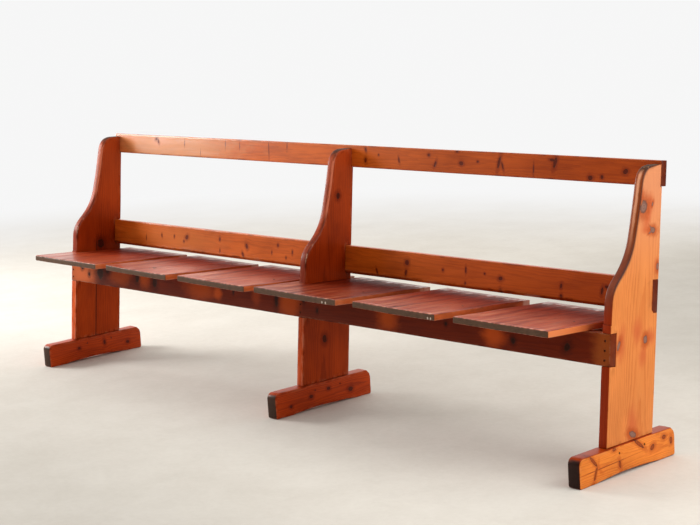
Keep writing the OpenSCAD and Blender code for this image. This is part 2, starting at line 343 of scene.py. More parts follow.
# ---------------------------------------------------------------- mesh helpers
def make(name, bm, mat, slot, *stands_for, smooth=True):
    me = bpy.data.meshes.new(name)
    bmesh.ops.recalc_face_normals(bm, faces=bm.faces)
    bm.to_mesh(me)
    bm.free()
    ob = bpy.data.objects.new(name, me)
    scene.collection.objects.link(ob)
    me.materials.append(mat)
    if smooth:
        for poly in me.polygons:
            poly.use_smooth = True
        me.set_sharp_from_angle(angle=math.radians(42))
    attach(ob, "root")
    if stands_for:
        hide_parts(*stands_for)
    return ob


def outline(node, side=1):
    """The side outline of a CAD node on its +X or -X face, as (y, z) points, counterclockwise."""
    lo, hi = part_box(node)
    x = hi.x if side > 0 else lo.x
    count = {}
    me = nodes[node].data
    key = lambda i: (round(me.vertices[i].co.y, 5), round(me.vertices[i].co.z, 5))
    for poly in me.polygons:
        if all(abs(me.vertices[i].co.x - x) < 1e-5 for i in poly.vertices):
            vs = [key(i) for i in poly.vertices]
            for i, k in enumerate(vs):
                e = (k, vs[(i + 1) % len(vs)])
                count[e] = count.get(e, 0) + 1
    follow = {a: b for (a, b) in count if (b, a) not in count}
    loops = []
    while follow:
        start = next(iter(follow))
        loop, cur = [], start
        while cur in follow:
            loop.append(cur)
            cur = follow.pop(cur)
        loops.append(loop)
    area = lambda l: sum(p[0] * q[1] - q[0] * p[1] for p, q in zip(l, l[1:] + l[:1])) / 2
    loop = max(loops, key=lambda l: abs(area(l)))
    if area(loop) < 0:
        loop.reverse()
    out = []
    for i, p in enumerate(loop):  # drop points in the middle of straight runs
        a, b = Vector(loop[i - 1]), Vector(loop[(i + 1) % len(loop)])
        q = Vector(p)
        u, w = (q - a), (b - q)
        if u.length > 1e-6 and w.length > 1e-6 and abs(u.x * w.y - u.y * w.x) > 1e-9:
            out.append(p)
    return out


def resample(points, step):
    """Adds points along long straight runs."""
    out = []
    for p, q in zip(points, points[1:] + points[:1]):
        d = math.dist(p, q)
        n = max(1, int(d / step))
        out += [(p[0] + (q[0] - p[0]) * i / n, p[1] + (q[1] - p[1]) * i / n) for i in range(n)]
    return out


def fillet(points, radius):
    """Rounds the outward corners of a counterclockwise outline. radius: function of (y, z)."""
    out, n = [], len(points)
    for i in range(n):
        p, a, b = Vector(points[i]), Vector(points[i - 1]), Vector(points[(i + 1) % n])
        u, w = (a - p), (b - p)
        r = min(radius(*p), u.length * 0.45, w.length * 0.45)
        straight = -(u.normalized().dot(w.normalized())) > 0.88
        inward = (p - a).x * (b - p).y - (p - a).y * (b - p).x <= 0
        if straight or inward or r < 1e-5:
            out.append(tuple(p))
            continue
        s, e = p + u.normalized() * r, p + w.normalized() * r
        for k in range(5):
            f = k / 4
            q = s * (1 - f) ** 2 + p * 2 * f * (1 - f) + e * f ** 2
            out.append(tuple(q))
    return out


def slab(points, x0, x1, radius, rounds=4, wander=0.0, seed=0.0, grid=0.03):
    """A plank with a side outline, between x0 and x1, its arrises rounded by radius(y, z)."""
    n = len(points)
    P = [Vector(p) for p in points]
    norm = []
    for i in range(n):
        d0, d1 = (P[i] - P[i - 1]).normalized(), (P[(i + 1) % n] - P[i]).normalized()
        a = Vector((d0.y, -d0.x)) + Vector((d1.y, -d1.x))
        a = a.normalized() if a.length > 1e-6 else Vector((d1.y, -d1.x))
        norm.append(a / max(0.6, a.dot(Vector((d1.y, -d1.x)))))
    rad = [radius(*p) for p in points]
    bm = bmesh.new()
    layer = bm.verts.layers.float.new("edge")
    round_ = bm.verts.layers.float.new("round")
    crest = (0.5, 0.1, 0.0, 0.3, 1.0)
    belly = (0.2, 0.8, 1.0, 0.8, 0.1)

    def wave(x, p, k):
        return -abs(wander) * k * (0.5 + noise.noise(Vector((p.x * 12 + seed, p.y * 12, x * 40))))

    def ring(side, k):
        row = []
        th = math.pi / 2 * k / rounds
        for i in range(n):
            r = rad[i]
            off = r * (1 - math.cos(th))
            x = (x0 + x1) / 2 if side == 0 else (x1 - off if side > 0 else x0 + off)
            q = P[i] - norm[i] * (0 if side == 0 else r * (1 - math.sin(th)))
            q = q + norm[i] * wave(x, q, 1.0 if side else 0.5)
            v = bm.verts.new((x, q.x, q.y))
            big = min(1.0, max(0.0, (r - 0.0025) / 0.003))
            v[layer] = 0.0 if side == 0 else 1 - big + big * crest[k]
            v[round_] = 0.0 if side == 0 else big * belly[k]
            row.append(v)
        return row

    rows = [ring(1, k) for k in range(rounds + 1)]
    rows.append(ring(0, 0))
    rows += [ring(-1, k) for k in range(rounds, -1, -1)]
    for a, b in zip(rows, rows[1:]):
        for i in range(n):
            j = (i + 1) % n
            bm.faces.new((a[i], a[j], b[j], b[i]))

    def away(q, loop):
        best = 1e9
        for a, b in zip(loop, loop[1:] + loop[:1]):
            ab = b - a
            f = max(0, min(1, (q - a).dot(ab) / max(1e-12, ab.dot(ab))))
            best = min(best, (q - a - ab * f).length)
        return best

    for row, side in ((rows[0], 1), (rows[-1], -1)):
        loop = [Vector((v.co.y, v.co.z)) for v in row]
        inner = []
        for d in (0.003, 0.008):
            for i in range(n):
                q = loop[i] - norm[i].normalized() * d
                if away(q, loop) > d * 0.9:
                    inner.append(q)
        lo_y, hi_y = min(q.x for q in loop), max(q.x for q in loop)
        lo_z, hi_z = min(q.y for q in loop), max(q.y for q in loop)
        for a in range(int((hi_y - lo_y) / grid) + 1):
            for b in range(int((hi_z - lo_z) / grid) + 1):
                q = Vector((lo_y + (a + 0.5) * grid, lo_z + (b + 0.5) * grid))
                if away(q, loop) > 0.012:
                    inner.append(q)
        pts, _, faces, sources = delaunay_2d_cdt(loop + inner, [], [list(range(n))], 1, 1e-7)[:4]
        at = {}
        for k, src in enumerate(sources):
            first = next((i for i in src if i < n), None)
            if first is not None:
                at[k] = row[first]
        for f in faces:
            vs = []
            for k in f:
                if k not in at:
                    v = bm.verts.new((x1 if side > 0 else x0, pts[k].x, pts[k].y))
                    v[layer] = max(0.0, 1 - away(pts[k], loop) / 0.008) * 0.8
                    at[k] = v
                if at[k] not in vs:
                    vs.append(at[k])
            if len(vs) > 2:
                try:
                    bm.faces.new(vs if side > 0 else list(reversed(vs)))
                except ValueError:
                    pass
    return bm


def bar(points, x0, x1, radius, step=0.018, seed=0.0, wear=0.6, bow=0.0006):
    """A long bar: the section lofted along X, its arrises rounded unevenly by wear."""
    n = len(points)
    P = [Vector(p) for p in points]
    bm = bmesh.new()
    layer = bm.verts.layers.float.new("edge")
    xs = [x0, x0 + 0.0012]
    count = max(2, int((x1 - x0) / step))
    xs += [x0 + 0.004 + (x1 - x0 - 0.008) * i / count for i in range(count + 1)]
    xs += [x1 - 0.0012, x1]
    rows = []
    for k, x in enumerate(xs):
        inset = 0.0012 if k in (0, len(xs) - 1) else 0.0
        row = []
        for i in range(n):
            p, a, b = P[i], P[i - 1], P[(i + 1) % n]
            u, w = (a - p).normalized(), (b - p).normalized()
            r = radius(i) * (1 + wear * noise.noise(Vector((x * 7 + seed, i * 3.1, seed)))
                             + 0.4 * wear * noise.noise(Vector((x * 31 + seed, i * 5.1, 3))))
            r = max(0.0004, r)
            centre = p + (u + w) * inset
            s, e = centre + u * r, centre + w * r
            sway = Vector((noise.noise(Vector((x * 1.7 + seed, 1, 0))),
                           noise.noise(Vector((x * 1.7 + seed, 5, 0))))) * bow
            pts = []
            for j in range(4):
                f = j / 3
                pts.append(s * (1 - f) ** 2 + centre * 2 * f * (1 - f) + e * f ** 2)
            for j, q in enumerate([s + u * 0.0035] + pts + [e + w * 0.0035]):
                v = bm.verts.new((x, q.x + sway.x, q.y + sway.y))
                v[layer] = 0.0 if j in (0, 5) and 1 < k < len(xs) - 2 else 1.0
                row.append(v)
        rows.append(row)
    for a, b in zip(rows, rows[1:]):
        for i in range(len(a)):
            j = (i + 1) % len(a)
            bm.faces.new((a[i], a[j], b[j], b[i]))
    bm.faces.new(rows[0])
    bm.faces.new(list(reversed(rows[-1])))
    return bm


def drill(ob, holes, radius, depth):
    """Cuts shallow funnel-shaped holes. holes: (point on the surface, inward direction)."""
    bm = bmesh.new()
    for p, d in holes:
        rot = d.to_track_quat("Z", "Y").to_matrix().to_4x4()
        bmesh.ops.create_cone(bm, segments=14, cap_ends=True, radius1=radius * 1.12,
                              radius2=radius * 0.85, depth=depth * 2,
                              matrix=Matrix.Translation(p) @ rot)
    me = bpy.data.meshes.new("cutter")
    bm.to_mesh(me)
    bm.free()
    cutter = bpy.data.objects.new("cutter", me)
    scene.collection.objects.link(cutter)
    mod = ob.modifiers.new("holes", "BOOLEAN")
    mod.operation, mod.solver, mod.object = "DIFFERENCE", "EXACT", cutter
    bpy.context.view_layer.update()
    graph = bpy.context.evaluated_depsgraph_get()
    new = bpy.data.meshes.new_from_object(ob.evaluated_get(graph), depsgraph=graph,
                                          preserve_all_data_layers=True)
    ob.modifiers.remove(mod)
    ob.data = new
    bpy.data.objects.remove(cutter)


def islands(node):
    """The box of each separate solid of a CAD node."""
    me = nodes[node].data
    found = []
    for v in me.vertices:
        for box in found:
            if all(box[0][i] - 0.006 < v.co[i] < box[1][i] + 0.006 for i in (0, 2)):
                box[0] = Vector(map(min, box[0], v.co))
                box[1] = Vector(map(max, box[1], v.co))
                break
        else:
            found.append([v.co.copy(), v.co.copy()])
    return found


# ---------------------------------------------------------------- directions from the frame
profile = outline("standard_right")
foot_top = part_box("foot_right")[1].z
# the longest straight run of the standard's outline gives the rake
run = max((Vector(q) - Vector(p) for p, q in zip(profile, profile[1:] + profile[:1])),
          key=lambda d: d.length)
run = run if run.y > 0 else -run
UP = Vector((0, run.x, run.y)).normalized()
FORE = Vector((0, -UP.z, UP.y))
# the top of a seat board gives the slope of the seat
lo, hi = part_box("seat_board_6")
section = outline("seat_board_6")
front_top = max((p for p in section if p[0] < (lo.y + hi.y) / 2), key=lambda p: p[1])
rear_top = max((p for p in section if p[0] > (lo.y + hi.y) / 2), key=lambda p: p[1])
BACK = Vector((0, rear_top[0] - front_top[0], rear_top[1] - front_top[1])).normalized()
SEAT_UP = Vector((0, -BACK.z, BACK.y))
# how much the sharp edges of each kind of piece are rounded, in metres
STANDARD_ARRIS, FOOT_ARRIS, BAR_ARRIS, BOARD_ARRIS = 0.0016, 0.0028, 0.0022, 0.0036
NECK_ROUNDING = 0.0056

# ---------------------------------------------------------------- colours
RED_L, RED_D = srgb(176, 60, 10), srgb(98, 18, 3)
ORANGE_L, ORANGE_D = srgb(229, 140, 74), srgb(196, 92, 40)
RAIL_L, RAIL_D = srgb(216, 102, 28), srgb(150, 48, 8)
SEAT_L, SEAT_D = srgb(182, 70, 28), srgb(104, 26, 9)
# the beam and the bearers are coloured darker, partly as painted shade from the seat above
BEAM_L, BEAM_D = srgb(114, 33, 3), srgb(60, 12, 1)
# painted light: patches where light falls through the gaps between the seat boards onto the beam
LIT, GLOW = srgb(180, 72, 14), srgb(200, 82, 22)
FOOT_L, FOOT_D = srgb(190, 64, 9), srgb(118, 26, 3)
LFOOT_L, LFOOT_D = srgb(236, 136, 50), srgb(202, 88, 24)
BLUSH = srgb(206, 100, 56)
END_DARK = srgb(54, 32, 20)
END_SEAT = srgb(92, 68, 52)
END_RAIL = srgb(112, 42, 14)


def ellipse(t, v, a, b, ra, rb, turn, ragged, deep=(0, 200)):
    """The distance given by spot(), with a ragged outline."""
    return t.mul(spot(t, v, a, b, ra, rb, turn, deep), t.add(ragged, 0.5))


def spots(items, amount=0.8, high=None, soft=(1.3, 0.1)):
    """Cloudy spots of another tone, on the rails and the beam spots of painted light: (along, across,
    half length, half width, turn, colour); high: a lighter tone towards the top, painted light.
    """
    def go(t, v, col):
        ragged = t.grain(v, (0.02, 0.035, 0.035), 3.0, 0.6)
        # painted light: a lighter tone towards the top of a standard
        if high:
            col = t.mix(t.mul(t.step(t.split(v)[0], 400.0, 740.0), high[1]), col, high[0])
        for a, b, ra, rb, turn, c in items:
            d = ellipse(t, v, a, b, ra, rb, turn, ragged)
            col = t.mix(t.mul(t.step(d, *soft), amount), col, c)
        return col
    return go


def directions(t):
    """How far a face looks to the right and to the front."""
    normal = t.new("ShaderNodeNewGeometry").outputs["Normal"]
    return t.dot(normal, X), t.dot(normal, FORE)


def unvarnished(inner, neck=False):
    """A bare right-hand face; the stain begins on the faces that look elsewhere. On the neck a painted
    highlight runs down the front face.
    """
    def go(t, v, col, height, gloss, gleam):
        right, front = directions(t)
        col = t.stain(t.step(right, 0.97, 0.8), col, inner)
        if neck:
            up, _, deep = t.split(v)
            worn = t.grain(v, (0.02, 0.05, 0.05), 4.0, 0.65)
            face = t.step(front, 0.45, 0.9)
            col = t.mix(t.mul(t.mul(face, t.step(up, 330.0, 430.0)), 0.75),
                        col, t.mix(t.step(up, 480.0, 620.0),
                                   t.mix(worn, srgb(92, 44, 30), srgb(146, 84, 58)),
                                   t.mix(worn, srgb(128, 56, 22), srgb(186, 92, 40))))
            # painted highlight: a pale stripe down the front face of the neck
            band = t.m("ABSOLUTE", t.add(t.mad(worn, 8.0, -17.0), deep))
            band = t.mul(t.step(band, 8.0, 1.0), t.step(up, 490.0, 680.0))
            band = t.mul(band, t.step(up, 772.0, 750.0))
            col = t.mix(t.mul(t.mul(band, face), 0.9), col,
                        srgb(255, 178, 136))
            over = t.mul(t.step(up, 742.0, 764.0), t.step(right, 0.9, 0.5))
            col = t.mix(t.mul(over, 0.85), col,
                        t.mix(t.step(worn, 0.52, 0.62), srgb(70, 40, 22), srgb(150, 104, 66)))
        return col, height, gloss, gleam
    return go


def handled_with_painted_light(seam=None):
    """Darker where the seat and the lower rail meet the standard, partly dirt and partly painted
    shade; a painted highlight on the neck's bevel; seam: a glue line.
    """
    def go(t, v, col, height, gloss, gleam):
        right, front = directions(t)
        up, across, _ = t.split(v)
        wander = t.grain(v, (0.012, 0.02, 0.02), 3.0, 0.6)
        worn = t.grain(v, (0.02, 0.06, 0.06), 4.0, 0.65)
        # partly dirt, partly painted shade: darker just above the seat and the lower rail
        u = t.mad(t.sub(wander, 0.5), 90.0, up)
        k = t.mul(t.step(u, 560.0, 400.0), t.step(u, 250.0, 330.0))
        col = t.stain(t.mul(k, 0.55), col, (0.36, 0.2, 0.16))
        face = t.step(front, 0.5, 0.9)
        col = t.stain(t.step(front, -0.4, -0.9), col, (0.66, 0.6, 0.56))
        # the front edge: lighter below the beam, a painted highlight on the neck's bevel, dark over
        # the top
        col = t.stain(t.mul(face, t.step(up, 330.0, 250.0)), col, (1.35, 1.6, 2.0))
        bevel = t.mul(t.step(t.add(right, front), 1.1, 1.35), t.step(up, 330.0, 380.0))
        # painted highlight: a pale stripe where the neck's bevel catches the light
        wear_and_highlight = t.mul(bevel, t.mul(t.step(up, 520.0, 580.0),
                                            t.step(up, 752.0, 728.0)))
        col = t.mix(t.mul(bevel, 0.6), col, srgb(76, 30, 16))
        col = t.mix(t.mul(wear_and_highlight, t.step(worn, 0.25, 0.5)), col, srgb(222, 122, 88))
        fleck = t.mul(t.step(worn, 0.52, 0.6), t.step(t.m("ABSOLUTE", t.add(up, -425.0)),
                                                                40.0, 15.0))
        col = t.mix(t.mul(bevel, fleck), col, srgb(206, 160, 132))
        over = t.mul(t.step(up, 738.0, 762.0), t.step(right, 0.9, 0.5))
        col = t.mix(t.mul(over, 0.7), col,
                    t.mix(t.step(worn, 0.52, 0.62), srgb(66, 30, 16), srgb(128, 72, 40)))
        if seam is not None:
            w = t.grain(v, (0.008, 0, 0), 2.0, 0.5)
            d = t.m("ABSOLUTE", t.add(across, t.mad(w, 2.0, seam - 1.0)))
            below = t.step(up, 400.0, 330.0)
            line = t.mul(t.step(d, 3.0, 1.2), t.mad(below, 0.88, 0.12))
            ahead = t.mul(t.step(t.add(across, seam), 1.0, -1.0), below)
            col = t.stain(ahead, col, (1.12, 1.2, 1.25))
            col = t.mix(t.mul(line, 0.85), col, srgb(44, 10, 4))
            height = t.sub(height, t.mul(line, 1.5))
        return col, height, gloss, gleam
    return go


low = [p for p in profile if abs(p[1] - foot_top) < 0.002]
back_low = max(low, key=lambda p: p[0])
pivot = Vector((0, back_low[0], foot_top))


def standard_radius(y, z):
    """Broad worn rounding on the front arris of the neck and over the top, fine elsewhere."""
    q = Vector((0, y, z)) - pivot
    up, fore = q.dot(UP), q.dot(FORE)
    if fore < 0.03:
        return STANDARD_ARRIS
    k = min(1.0, max(0.0, (up - 0.36) / 0.10))
    return STANDARD_ARRIS + NECK_ROUNDING * k * k * (3 - 2 * k)


def build_standard(name, stands_for, mat, slot, seed):
    lo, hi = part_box(stands_for[0])
    pts = resample(fillet(profile, lambda y, z: 0.0025), 0.03)
    bm = slab(pts, lo.x, hi.x, standard_radius, wander=0.0007, seed=seed)
    return make(name, bm, mat, slot, *stands_for)


def at_pivot(node):
    return (1000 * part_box(node)[1].x, 1000 * pivot.y, 1000 * pivot.z)


wood_right = wood("pine_right_standard", UP, Y, at_pivot("standard_right"), ORANGE_L, ORANGE_D,
                  srgb(90, 50, 30),
                  knots=[(654, -82, 19, 15, 15), (588, -36, 9, 11, 20), (582, -47, 9, 2.5, 60),
                         (595, -45, 8, 2, -50), (275, -51, 12, 9, 0), (266, -172, 14, 6, 20),
                         (6, -93, 9, 16, 20), (662, -42, 7, 3, 20), (482, -8, 10, 5, 0)],
                  spacing=6.5, pith=(-70, -60), ring=0.42, streak=0.16, mottle=0.18, rough=0.5,
                  coat=0.04, coat_rough=0.3, rim=srgb(108, 74, 62), halo=0.7,
                  heart=srgb(150, 112, 100),
                  stained_round=srgb(84, 42, 24),
                  under=spots(((664, -52, 34, 20, 10, BLUSH), (622, -62, 40, 20, 20, BLUSH),
                               (690, -92, 26, 12, 0, BLUSH), (588, -58, 14, 34, 0, BLUSH),
                               (300, -90, 46, 26, 0, BLUSH), (272, -160, 60, 22, 0, BLUSH),
                               (282, -30, 26, 34, 0, BLUSH), (30, -98, 64, 30, 0, BLUSH),
                               (486, -10, 26, 16, 0, BLUSH), (230, -60, 40, 20, 0, BLUSH)),
                              high=(srgb(226, 150, 110), 0.75)),
                  extra=unvarnished((0.42, 0.11, 0.03), neck=True),
                  seed=1, wear=0.3)
stained = dict(light=RED_L, dark=RED_D, end=srgb(80, 34, 18), spacing=6, ring=0.42, streak=0.24,
               mottle=0.42, rough=0.45, coat=0.04, coat_rough=0.2,
               under=spots((), high=(srgb(176, 78, 40), 0.35)))
wood_mid = wood("pine_middle_standard", UP, Y, at_pivot("standard_middle"), **stained,
                knots=[(614, -67, 10, 8, 0), (131, -115, 13, 9, 0)], pith=(-120, -50), seed=2,
                extra=handled_with_painted_light())
seam_at = 1000 * (max(v.co.yz.dot(FORE.yz) for v in nodes["standard_left_rear_board"].data.vertices)
                  - pivot.yz.dot(FORE.yz))
wood_left = wood("pine_left_standard", UP, Y, at_pivot("standard_left_rear_board"), **stained,
                 knots=[(353, -94, 16, 14, 0)], pith=(30, -50), seed=3, extra=handled_with_painted_light(seam_at))
build_standard("visual_standard_right", ("standard_right",), wood_right, "wood_light", 1)
build_standard("visual_standard_middle", ("standard_middle",), wood_mid, "wood_standard", 2)
build_standard("visual_standard_left", ("standard_left_rear_board", "standard_left_front_board"),
               wood_left, "wood_standard", 3)

# feet
foot_knots = (
    [(-80, 8, 6, 5, 0), (150, -8, 7, 6, 0), (40, 12, 5, 9, 10)],
    [(-60, 4, 8, 6, 0), (20, 16, 7, 5, 0), (120, -6, 10, 7, 0), (-150, -12, 6, 5, 0)],
    [(-156, 25, 24, 4.5, -48), (-148, -13, 20, 4, 68), (-64, 38, 8, 5, 0), (48, 29, 27, 5, -37),
     (110, 5, 10, 7, 30), (-40, -10, 5, 12, 10), (165, 22, 8, 6, 0), (198, 6, 6, 10, 0),
     (-105, -2, 90, 0.8, 2)])
for i, (node, light, dark, seed) in enumerate((("foot_left", FOOT_L, FOOT_D, 5),
                                               ("foot_middle", FOOT_L, FOOT_D, 6),
                                               ("foot_right", LFOOT_L, LFOOT_D, 7))):
    lo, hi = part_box(node)
    mat = wood("pine_" + node, Y, Z, (1000 * hi.x, 1000 * (lo.y + hi.y) / 2, 43), light, dark,
               END_DARK, spacing=5, pith=(0, -14), ring=0.5, streak=0.25, mottle=0.35,
               rough=0.45, coat=0.2, coat_rough=0.25, seed=seed, knots=foot_knots[i],
               extra=unvarnished((0.42, 0.16, 0.06)) if i == 2 else None)
    pts = resample(fillet(outline(node), lambda y, z: 0.004), 0.02)
    make("visual_" + node, slab(pts, lo.x, hi.x, lambda y, z: FOOT_ARRIS, wander=0.0012, seed=seed),
         mat, "wood_light" if i == 2 else "wood_foot", node)

# rails and beams
rail_knots = {
    "top_back_rail": [
        (-1064, 24, 7, 5, 20), (-1052, 16, 4, 9, 25), (-886, 13, 1.5, 9, 0), (-788, -20, 1, 8, 0),
        (-640, 18, 1.5, 9, 0), (-557, 14, 1.5, 9, 0), (-392, 7, 1.5, 22, 5), (-293, 23, 1.5, 9, 0),
        (112, -12, 5, 8, 0), (112, 24, 4, 7, 20), (175, 9, 3, 3, 0), (272, -4, 3, 9, 15),
        (409, 17, 5, 4, 0), (439, -10, 4, 10, -25), (535, 33, 5, 3, 0), (554, -4, 8, 6, -20),
        (625, 5, 4, 3, 0), (715, 5, 5, 19, -15), (730, -4, 3, 12, 20), (857, -9, 2, 13, 0),
        (942, 15, 6, 16, -15), (930, 22, 9, 4, 0), (1079, -25, 8, 6, 0), (1122, -20, 5, 5, 0),
        (1208, 0, 8, 7, 15)],
    "lower_back_rail": [
        (-996, 14, 3, 6, 10), (-917, 16, 3, 5, 0), (-839, 18, 9, 7, 35), (-857, 2, 4, 4, 0),
        (-1096, -2, 1.5, 8, 0), (-640, 26, 4, 6, 0), (-639, -17, 2.5, 5, 0), (-484, 11, 6, 9, 20),
        (-504, -23, 4, 9, 25), (-310, 28, 4, 5, 0), (-343, 0, 2.5, 5, 0), (-265, -13, 3, 4, 0),
        (-232, 8, 3, 6, 0), (341, 21, 8, 8, -25), (337, -11, 4, 9, -10), (200, -19, 3, 9, 20),
        (605, 20, 3, 9, 0), (505, 11, 4, 4, 0), (686, 15, 3, 3, 0), (604, -23, 3, 4, 0),
        (753, 6, 8, 6, 0), (754, -32, 5, 7, 10), (997, 6, 4, 7, -10), (998, -25, 5, 6, 10),
        (1153, 6, 4, 10, -10), (1170, 19, 6, 4, 0)],
    "front_seat_beam": [
        (-1262, 10, 8, 7, 0), (-1215, -12, 6, 8, 0), (-1140, 0, 20, 24, 10), (-1092, 12, 12, 9, 0),
        (-900, 2, 11, 17, 0), (-790, -4, 13, 20, 0), (-330, 5, 4, 8, 0), (-98, 0, 8, 24, 0),
        (40, 14, 7, 9, 0), (110, -16, 5, 8, 0), (700, 6, 5, 6, 0), (975, -14, 8, 9, 0),
        (1180, -8, 10, 13, -35)]}
# painted light: pale reflections on the left of the rails and patches of light on the beam
rail_painted_light = {
    "top_back_rail": ((-960, 2, 430, 90, 0, srgb(214, 156, 106)),
                      (-1040, 18, 60, 20, 0, srgb(224, 150, 112))),
    "lower_back_rail": ((-900, 8, 300, 50, 0, srgb(216, 120, 52)),),
    "front_seat_beam": (
        (-1260, 0, 110, 70, 0, srgb(198, 98, 48)), (-1010, -4, 70, 36, 0, srgb(170, 70, 18)),
        (-862, 0, 42, 30, 0, LIT), (-520, -6, 100, 40, 0, LIT), (-418, -10, 26, 24, 0, GLOW),
        (-205, 12, 26, 50, 0, srgb(158, 60, 18)), (-30, -6, 62, 60, 0, LIT), (445, -6, 48, 46, 0, LIT),
        (900, -6, 50, 40, 0, GLOW), (1314, 0, 44, 90, 0, srgb(158, 76, 28)))}


def rail_painted_shade(half):
    """Painted shade: a darker red band along the bottom of a rail, and the rail darker towards its
    right end.
    """
    def go(t, v, col, height, gloss, gleam):
        along, across, _ = t.split(v)
        w = t.grain(v, (0.01, 0.03, 0), 3.0, 0.6)
        front = directions(t)[1]
        col = t.stain(t.step(front, -0.4, -0.9), col, (0.66, 0.6, 0.56))
        # painted shade: darker towards the right end, away from the light on the left
        col = t.stain(t.step(along, -250.0, 1150.0), col, (0.7, 0.52, 0.26))
        # painted shade: a darker red band along the bottom
        k = t.step(t.mad(w, 14.0, across), 16.0 - half, 3.0 - half)
        col = t.stain(t.mul(k, 0.75), col, (0.62, 0.26, 0.16))
        return col, height, gloss, gleam
    return go


for node, light, dark, seed, slot in (
        ("top_back_rail", RAIL_L, RAIL_D, 8, "wood_rail"),
        ("lower_back_rail", RAIL_L, RAIL_D, 9, "wood_rail"),
        ("front_seat_beam", BEAM_L, BEAM_D, 10, "wood_beam"),
        ("rear_seat_bearer_left", BEAM_L, BEAM_D, 11, "wood_beam"),
        ("rear_seat_bearer_right", BEAM_L, BEAM_D, 12, "wood_beam")):
    lo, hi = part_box(node)
    pts = outline(node)
    mid = (0, 1000 * sum(p[0] for p in pts) / len(pts), 1000 * sum(p[1] for p in pts) / len(pts))
    mat = wood("pine_" + node, X, UP, mid, light, dark, END_RAIL, spacing=4, pith=(6, -45),
               taper=0.012, ring=0.27, streak=0.3, mottle=0.36, seed=seed, rough=0.42,
               random_knots=0.0 if node in rail_knots else 0.2, knots=rail_knots.get(node, ()),
               coat={"t": 0.44, "l": 0.3}.get(node[0], 0.06), coat_rough=0.16,
               under=(spots(rail_painted_light[node], 0.9 if "beam" in node else 0.6, soft=(1.35, 0.3))
                      if node in rail_painted_light else None),
               extra=rail_painted_shade(1000 * (hi.z - lo.z) / 2) if "rail" in node else None)
    ob = make("visual_" + node, bar(pts, lo.x, hi.x, lambda i: BAR_ARRIS, seed=seed), mat, slot,
              node)
    if node == "front_seat_beam":
        drill(ob, [(Vector(((a.x + b.x) / 2, a.y, (a.z + b.z) / 2)) + FORE * 0.002, -FORE)
                   for a, b in islands("beam_nails")], 0.0041, 0.0036)


# ---------------------------------------------------------------- seat boards
def seat_wear_and_painted_light(pale_side, marks):
    """Polished towards the front by use, darker and duller under the back rail, the darkening painted
    shade; pale front streaks are a painted sheen and the pale very back a painted reflection.
    """
    def go(t, v, col, height, gloss, gleam):
        right, front = directions(t)
        sawn = col
        along = t.split(v)[0]
        wander = t.grain(v, (0.008, 0.022, 0), 3.0, 0.6)
        # painted shade: darker towards the back, under the back rail
        u = t.mad(t.sub(wander, 0.5), 220.0, along)
        k = t.step(u, 90.0, 300.0)
        col = t.stain(k, col, (0.56, 0.34, 0.24))
        # long soft bands and cloudy stain, faint cross marks left by the plane
        band = t.grain(v, (0.0035, 0.036, 0.0), 4.0, 0.6)
        cloud = t.grain(v, (0.012, 0.03, 0.0), 3.0, 0.55)
        across = t.grain(v, (0.12, 0.012, 0.0), 3.0, 0.6)
        col = t.stain(t.mul(t.step(band, 0.48, 0.62), 0.85), col, (0.5, 0.31, 0.22))
        col = t.stain(t.mul(t.step(cloud, 0.52, 0.68), 0.55), col, (0.56, 0.4, 0.34))
        col = t.stain(t.mul(t.step(across, 0.6, 0.75), 0.3), col, (0.6, 0.46, 0.42))
        # painted sheen: pale streaks along the bands near the front
        col = t.mix(t.mul(t.mul(t.step(band, 0.5, 0.34), t.step(u, 260.0, 20.0)),
                        0.7), col, srgb(218, 136, 96))
        height = t.mad(across, -0.5, height)
        # the very back stays glossy, with a wavy limit, and a painted reflection pales it
        curl = t.grain(v, (0.02, 0.05, 0), 3.0, 0.6)
        back = t.step(t.mad(t.sub(curl, 0.5), 150.0, along), 382.0, 404.0)
        dull = t.m("MAXIMUM", t.sub(k, back), 0.0)
        shine = t.mul(t.mad(dull, -0.97, 1.0),
                    t.mad(t.step(band, 0.62, 0.4), 1.0, 0.35))
        col = t.mix(t.mul(back, 0.22), col, srgb(214, 186, 170))
        gleam = t.mul(gleam, shine)
        gloss = t.mad(k, 0.14, gloss)
        end_face = t.step(t.m("ABSOLUTE", front), 0.72, 0.93)
        col = t.mix(end_face, col, sawn)
        gleam = t.mul(gleam, t.mad(end_face, -0.8, 1.0))
        ragged = t.grain(v, (0.05, 0.05, 0.05), 3.0, 0.6)
        for a, b, ra, rb, turn, c in marks:
            d = ellipse(t, v, a, b, ra, rb, turn, ragged, (15, 4) if c == NICK else (0, 200))
            col = t.mix(t.step(d, 1.15, 0.7), col, c)
        # the sawn side is less stained; painted light makes it paler towards the front and on the last
        # board
        side = t.step(right, 0.6, 0.92)
        pale = t.step(along, 330.0, 30.0)
        col = t.mix(t.mul(side, t.mad(pale, pale_side, 0.12)), col,
                    srgb(234, 134, 78))
        return col, height, gloss, gleam
    return go


DENT, NICK = srgb(54, 22, 12), srgb(206, 186, 168)
board_marks = {
    2: ((88, 3, 9, 7, 0, DENT), (76, 16, 5, 6, 20, DENT), (92, -16, 5, 4, 0, DENT),
        (70, -4, 4, 7, 40, DENT)),
    4: ((2, 138, 6, 3.5, 0, NICK), (2, 155, 5, 3, 0, NICK), (392, -10, 8, 14, 0, DENT),
        (410, -80, 10, 16, 0, DENT)),
    5: ((46, -6, 26, 4, 12, DENT), (30, -18, 14, 3, -20, DENT), (4, 150, 5, 3, 0, NICK),
        (2, 162, 4, 2.5, 0, NICK)),
    6: ((396, 60, 10, 22, 0, DENT), (404, 20, 8, 12, 0, DENT), (250, -30, 3, 5, 0, DENT)),
}


# the boards that are cut round a standard
notched = {1: "standard_left_rear_board", 4: "standard_middle"}


